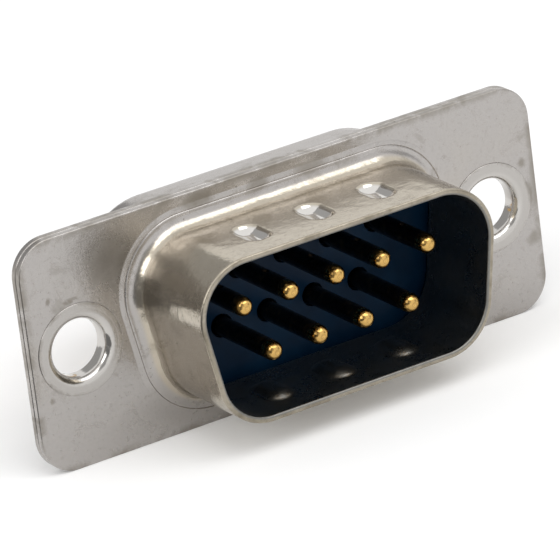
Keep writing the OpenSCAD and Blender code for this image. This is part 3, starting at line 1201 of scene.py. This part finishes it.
@dataclass
class Contacts:
    """The nine contacts: pin, shank, collar and solder cup, each in one piece."""

    finish: bpy.types.Material
    pitch: float = 2.77
    row_gap: float = 2.84
    wide_row: int = 5
    count: int = 9
    pin: float = 0.51
    tip_y: float = -5.15
    root_y: float = 0.2
    shank: float = 0.57
    relief_y: float = 0.75
    collar: float = 1.05
    collar_y: Point2 = (1.7, 2.9)
    cup: float = 0.85
    bore: float = 0.575
    bore_y: float = 8.3
    open_y: float = 9.6
    end_y: float = 11.9
    edge_z: float = 0.13
    dimple: float = 0.25
    dimple_depth: float = 0.15
    dimple_y: float = -2.6
    tip_dot: tuple[Point2, Point2] = ((0.0, 0.07), (0.05, 0.045))
    steps: int = 72

    def place_of(self, number: int) -> tuple[Point2, int]:
        """Gives where a contact stands.

        Args:
            number: The contact's number, from 1.

        Returns:
            Its X and Z, and 1 if it opens upwards or -1 if downwards.
        """
        if number <= self.wide_row:
            return ((number - 3) * self.pitch, self.row_gap / 2), 1
        return ((number - 7.5) * self.pitch, -self.row_gap / 2), -1

    def _ring(self, skin: Skin, at: Point2, up: int, radius: float, y: float,
              gap: float = 0.0) -> list[int]:
        """Adds one ring, or an arc that leaves a gap on the open side.

        Args:
            skin: Where the points are added.
            at: The axis's X and Z.
            up: 1 or -1, the open side.
            radius: The ring's radius.
            y: Its depth.
            gap: Half the angle left open.

        Returns:
            The points' numbers, whose first and last meet where there is no gap.
        """
        ring = []
        for i in range(self.steps + 1):
            angle = blend(gap, 2 * math.pi - gap, i / self.steps)
            ring.append((at[0] + radius * math.sin(angle), y,
                         at[1] + up * radius * math.cos(angle)))
        return skin.row(ring)

    def _pin_rows(self, skin: Skin, at: Point2, up: int) -> list[list[int]]:
        """Makes the tip and the pin, with its pressed dimple.

        Args:
            skin: Where the rows are added.
            at: The axis's X and Z.
            up: The open side.

        Returns:
            The rows.
        """
        tip = arc((0.0, self.tip_y + self.pin), self.pin, -90, 0, 18)
        tip = [*((radius, tip[0][1] + y) for radius, y in self.tip_dot), *tip[3:]]
        start = tip[-1][1]
        near = self.dimple_y - 0.34, self.dimple_y + 0.34
        depths = (spaced(start, near[0], 0.5)[1:] + spaced(*near, 0.034)[1:]
                  + spaced(near[1], self.root_y, 0.6)[1:])
        rows = []
        for radius, y in tip + [(self.pin, y) for y in depths]:
            ring = self._ring(skin, at, up, radius, y)
            if abs(y - self.dimple_y) < self.dimple + 0.05:
                for number in ring:
                    x, _, z = skin.points[number]
                    skin.points[number] = (x, y, at[1] + up * self._dent(
                        x - at[0], y, up * (z - at[1])))
            rows.append(ring)
        return rows

    def _dent(self, x: float, y: float, z: float) -> float:
        """Sinks a point of the pin into the dimple.

        Args:
            x: Distance across the pin.
            y: Depth along it.
            z: Height above its axis.

        Returns:
            The height after pressing.
        """
        centre = self.pin + self.dimple - self.dimple_depth
        away = math.hypot(x, y - self.dimple_y)
        if z <= 0 or away >= self.dimple:
            return z
        return min(z, centre - math.sqrt(self.dimple**2 - away**2))

    def _cut(self, y: float) -> float:
        """Gives the height at which the cup is cut away.

        Args:
            y: Depth along the cup.

        Returns:
            The height above the contact's axis.
        """
        start = self.open_y + self.cup
        back = min(self.cup, max(0.0, start - y))
        return self.edge_z + self.cup - math.sqrt(self.cup**2 - back**2)

    def _cut_depth(self, height: float) -> float:
        """Gives the depth at which the cut comes down to a height."""
        drop = self.edge_z + self.cup - height
        return self.open_y + self.cup - math.sqrt(self.cup**2 - drop**2)

    def _cup(self, skin: Skin, at: Point2, up: int) -> None:
        """Makes the solder cup, bored and cut open on one side.

        Args:
            skin: Where the rows are added.
            at: The axis's X and Z.
            up: The open side.
        """
        outer_start = self._cut_depth(self.cup - 1e-4)
        inner_start = self._cut_depth(self.bore)
        flat = self.open_y + self.cup
        opened = (spaced(outer_start, inner_start, 0.03) + spaced(inner_start, flat, 0.05)[1:]
                  + [self.end_y])
        collar_end = self.collar_y[1]
        outside = [self._ring(skin, at, up, self.cup, y) for y in (collar_end + 0.04, outer_start)]
        outside.insert(0, self._ring(skin, at, up, self.cup - 0.04, collar_end))
        inside = [self._ring(skin, at, up, 0.0, self.bore_y - 0.2),
                  self._ring(skin, at, up, self.bore, self.bore_y),
                  self._ring(skin, at, up, self.bore, outer_start)]
        sides: list[list[list[int]]] = [[], []]
        for y in opened:
            height = self._cut(y)
            out_gap = math.acos(min(1.0, height / self.cup))
            in_gap = math.acos(min(1.0, height / self.bore))
            outside.append(self._ring(skin, at, up, self.cup, y, out_gap))
            inside.append(self._ring(skin, at, up, self.bore, y, in_gap))
            rim_x = self.cup * math.sin(out_gap)
            lip_x = self.bore * math.sin(in_gap) if height < self.bore else 0.0
            z = at[1] + up * min(height, self.cup)
            for side, rows in zip((1, -1), sides):
                rows.append(skin.row([(at[0] + side * rim_x, y, z), (at[0] + side * lip_x, y, z)]))
        skin.skin_rows(outside, closed=False)
        skin.skin_rows(inside, closed=False)
        for rows in sides:
            skin.skin_rows(rows, closed=False)
        skin.bridge(outside[-1], inside[-1], closed=False)

    def build(self) -> list[bpy.types.Object]:
        """Builds the contacts.

        Returns:
            The pieces.
        """
        made = []
        low, high = self.collar_y
        for number in range(1, self.count + 1):
            skin = Skin()
            at, up = self.place_of(number)
            rows = self._pin_rows(skin, at, up)
            rows += [self._ring(skin, at, up, r, y) for r, y in (
                (self.shank, self.relief_y), (self.shank, low), (self.collar - 0.05, low),
                (self.collar, low + 0.05), (self.collar, high - 0.05),
                (self.collar - 0.05, high), (self.cup - 0.04, high))]
            skin.skin_rows(rows, closed=False)
            self._cup(skin, at, up)
            made.append(skin.make(f"contact_{number}", self.finish, 38.0,
                                  [f"pin_{number}"]))
        return made


# ------------------------------------------------------------------ insulator halves


@dataclass
class Insulator:
    """The two moulded halves, which keep their own solids and get their finish."""

    finish: bpy.types.Material
    halves: tuple[str, ...] = ("front_insulator", "rear_insulator")

    def dress(self) -> list[bpy.types.Object]:
        """Gives both halves their finish.

        Returns:
            The two halves.
        """
        found = [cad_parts[name] for name in self.halves]
        for half in found:
            for slot in half.material_slots:
                slot.material = self.finish
        return found


# ------------------------------------------------------------------ studio


def direction(azimuth: float, elevation: float) -> Vector:
    """Gives a direction from the plug.

    Args:
        azimuth: Angle round Z, 0 in front of the mouth and 90 on its right, in degrees.
        elevation: Angle above the table, in degrees.

    Returns:
        A unit vector.
    """
    a, e = math.radians(azimuth), math.radians(elevation)
    return Vector((math.sin(a) * math.cos(e), -math.cos(a) * math.cos(e), math.sin(e)))


def facing_plug(back: Vector) -> Matrix:
    """Returns the turn that aims a lamp or camera at the plug from a direction."""
    return (-back).to_track_quat("-Z", "Y").to_matrix().to_4x4()


@dataclass(frozen=True)
class SoftLamp:
    """A soft lamp, aimed at the plug, as wide and high as the angles it fills."""

    name: str
    azimuth: float
    elevation: float
    across: float
    upright: float
    brightness: float
    distance: float = 420.0

    def build(self) -> bpy.types.Object:
        """Makes the lamp.

        Returns:
            Its object.
        """
        lamp = bpy.data.lights.new(self.name, "AREA")
        lamp.shape = "RECTANGLE"
        lamp.size = 2 * self.distance * MM * math.tan(math.radians(self.across / 2))
        lamp.size_y = 2 * self.distance * MM * math.tan(math.radians(self.upright / 2))
        lamp.energy = self.brightness * math.pi * lamp.size * lamp.size_y
        made = bpy.data.objects.new(self.name, lamp)
        bpy.context.scene.collection.objects.link(made)
        back = direction(self.azimuth, self.elevation)
        made.matrix_world = Matrix.Translation(back * self.distance * MM) @ facing_plug(back)
        return made


@dataclass(frozen=True)
class DarkCard:
    """A dark card beside the table, seen only in the metal."""

    name: str
    grey: float
    corners: tuple[tuple[float, float, float], ...]

    def build(self) -> bpy.types.Object:
        """Makes the card.

        Returns:
            Its object.
        """
        material, s = new_material(self.name)
        glow = s.add("ShaderNodeEmission", inputs={"Color": rgb(1, 1, 1), "Strength": self.grey})
        s.add("ShaderNodeOutputMaterial", inputs={"Surface": glow})
        mesh = bpy.data.meshes.new(self.name)
        points = [direction(a, e) * d * MM for a, e, d in self.corners]
        mesh.from_pydata(points, [], [tuple(range(len(points)))])
        mesh.materials.append(material)
        made = bpy.data.objects.new(self.name, mesh)
        made.visible_camera = made.visible_diffuse = made.visible_shadow = False
        made.visible_transmission = False
        bpy.context.scene.collection.objects.link(made)
        return made


@dataclass
class Studio:
    """The pale floor, the soft lamps, the dark cards and the camera."""

    floor_z: float = -6.275
    floor_half: float = 900.0
    floor_colour: Colour = rgb(0.93, 0.93, 0.93)
    floor_mottle: Colour = rgb(0.91, 0.91, 0.905)
    floor_lift: float = 0.07
    fill: float = 0.78
    target: tuple[float, float, float] = (-0.44264, 0.2256, -0.05619)
    distance: float = 338.804
    azimuth: float = -29.5072
    elevation: float = 21.1023
    roll: float = -7.39
    lens: float = 425.82
    sensor: float = 36.0
    lamps: tuple[SoftLamp, ...] = (
        SoftLamp("overhead_lamp", azimuth=6, elevation=58, across=56, upright=28, brightness=2.0),
        SoftLamp("left_lamp", azimuth=-68, elevation=29, across=26, upright=32, brightness=2.0),
    )
    cards: tuple[DarkCard, ...] = (
        DarkCard("left_card", 0.2, ((-104, -2, 300), (-31, -2, 300), (-31, 14, 300),
                                    (-104, 14, 300))),
        DarkCard("left_mat", 0.2, ((-104, -17, 21), (-38, -11.7, 30), (-34, -1.7, 200),
                                   (-104, -1.7, 200))),
        DarkCard("camera_card", 0.42, ((-50, 14, 360), (-12, 14, 360), (-12, 46, 360),
                                       (-50, 46, 360))),
        DarkCard("right_card", 0.5, ((38, -2, 320), (64, -2, 320), (64, 22, 320), (38, 22, 320))),
        DarkCard("rear_card", 0.42, ((165, -1, 320), (222, -1, 320), (222, 44, 320),
                                     (165, 44, 320))),
    )

    def _floor(self) -> bpy.types.Object:
        """Makes the floor, which shows white and keeps the shadow.

        Returns:
            The floor.
        """
        material, s = new_material("pale_floor")
        place, *_ = s.place()
        mottle = s.cloud(place, 0.02, 2.0)
        colour = s.mix(mottle.ramp(0.3, 0.7, 0.0, 0.3), self.floor_colour, self.floor_mottle)
        path = self._shown_rays(s)
        glow = s.add("ShaderNodeEmission",
                     inputs={"Color": rgb(1, 1, 1), "Strength": self.floor_lift})
        matt = s.add("ShaderNodeBsdfDiffuse", inputs={"Color": colour, "Roughness": 0.4})
        lit = s.add("ShaderNodeAddShader", inputs={0: matt, 1: glow})
        seen = s.add("ShaderNodeMixShader", inputs={0: path, 1: matt, 2: lit})
        s.add("ShaderNodeOutputMaterial", inputs={"Surface": seen})
        mesh = bpy.data.meshes.new("floor")
        half, z = self.floor_half * MM, self.floor_z * MM
        mesh.from_pydata([(-half, -half, z), (half, -half, z), (half, half, z), (-half, half, z)],
                         [], [(0, 1, 2, 3)])
        mesh.materials.append(material)
        floor = bpy.data.objects.new("floor", mesh)
        bpy.context.scene.collection.objects.link(floor)
        return floor

    @staticmethod
    def _shown_rays(s: Shader) -> Sock:
        """Tells apart the rays that show the background from those that light the plug.

        Args:
            s: The shader to add to.

        Returns:
            1 for camera, glossy and transmission rays, else 0.
        """
        camera = s.add("ShaderNodeLightPath", output="Is Camera Ray")
        glossy = s.add("ShaderNodeLightPath", output="Is Glossy Ray")
        through = s.add("ShaderNodeLightPath", output="Is Transmission Ray")
        return (camera + glossy + through).at_most(1.0)

    def _world(self) -> None:
        """Makes the white surroundings and the soft fill."""
        world = bpy.data.worlds.new("studio")
        bpy.context.scene.world = world
        world.use_nodes = True
        s = Shader(world.node_tree)
        strength = self._shown_rays(s) * (1.0 - self.fill) + self.fill
        light = s.add("ShaderNodeBackground", inputs={"Color": rgb(1, 1, 1), "Strength": strength})
        s.add("ShaderNodeOutputWorld", inputs={"Surface": light})

    def _camera(self) -> bpy.types.Object:
        """Sets up the camera.

        Returns:
            The camera.
        """
        camera = bpy.data.cameras.new("camera")
        camera.sensor_fit, camera.sensor_width = "HORIZONTAL", self.sensor
        camera.lens = self.lens
        camera.clip_start, camera.clip_end = 0.01, 20.0
        made = bpy.data.objects.new("camera", camera)
        bpy.context.scene.collection.objects.link(made)
        back = direction(self.azimuth, self.elevation)
        made.matrix_world = (Matrix.Translation((Vector(self.target) + back * self.distance) * MM)
                             @ facing_plug(back) @ Matrix.Rotation(math.radians(self.roll), 4, "Z"))
        bpy.context.scene.camera = made
        return made

    def build(self) -> None:
        """Builds the studio."""
        self._floor()
        self._world()
        for fitting in (*self.lamps, *self.cards):
            fitting.build()
        self._camera()
        bpy.context.scene.view_settings.view_transform = "Standard"


# ------------------------------------------------------------------ the plug


FRONT_STAINS_AND_REFLECTION = (
    # The first mark, at (-10.3, 4.1), is a painted reflection: the hood's dark smudge mirrored in
    # the flange. The others are stains.
    FlangeMark(-10.3, 4.1, 1.9, 1.7, 0.35), FlangeMark(-4.75, 5.7, 1.3, 0.7, 0.6),
    FlangeMark(-1.3, 5.5, 1.1, 0.5, 0.55), FlangeMark(2.0, 5.6, 1.3, 0.6, 0.5),
    FlangeMark(14.5, 1.9, 0.5, 0.5, 0.6), FlangeMark(15.2, -0.1, 0.5, 1.0, 0.6),
    FlangeMark(15.0, -2.5, 0.6, 0.6, 0.5), FlangeMark(-13.9, 3.1, 0.3, 0.3, 0.6),
    FlangeMark(-12.7, 2.8, 0.25, 0.25, 0.6), FlangeMark(-14.4, -2.0, 0.3, 0.3, 0.6),
)


def main() -> None:
    """Builds and dresses the plug, piece by piece, then the studio."""
    logging.basicConfig(level=logging.INFO, format="%(name)s: %(message)s")
    front_plating = PlatedSteel("front_shell_plating", stains_and_reflection=FRONT_STAINS_AND_REFLECTION).material()
    rear_plating = PlatedSteel("rear_shell_plating").material()
    made = [FrontShell(front_plating).build(), RearShell(rear_plating).build()]
    made += Insulator(MouldedInsulator().material()).dress()
    made += Eyelets(NickelEyelet().material()).build()
    made += Contacts(GoldContact().material()).build()
    for piece in made:
        log.info("%s: %d faces", piece.name, len(piece.data.polygons))
    Studio().build()


if __name__ == "__main__":
    main()
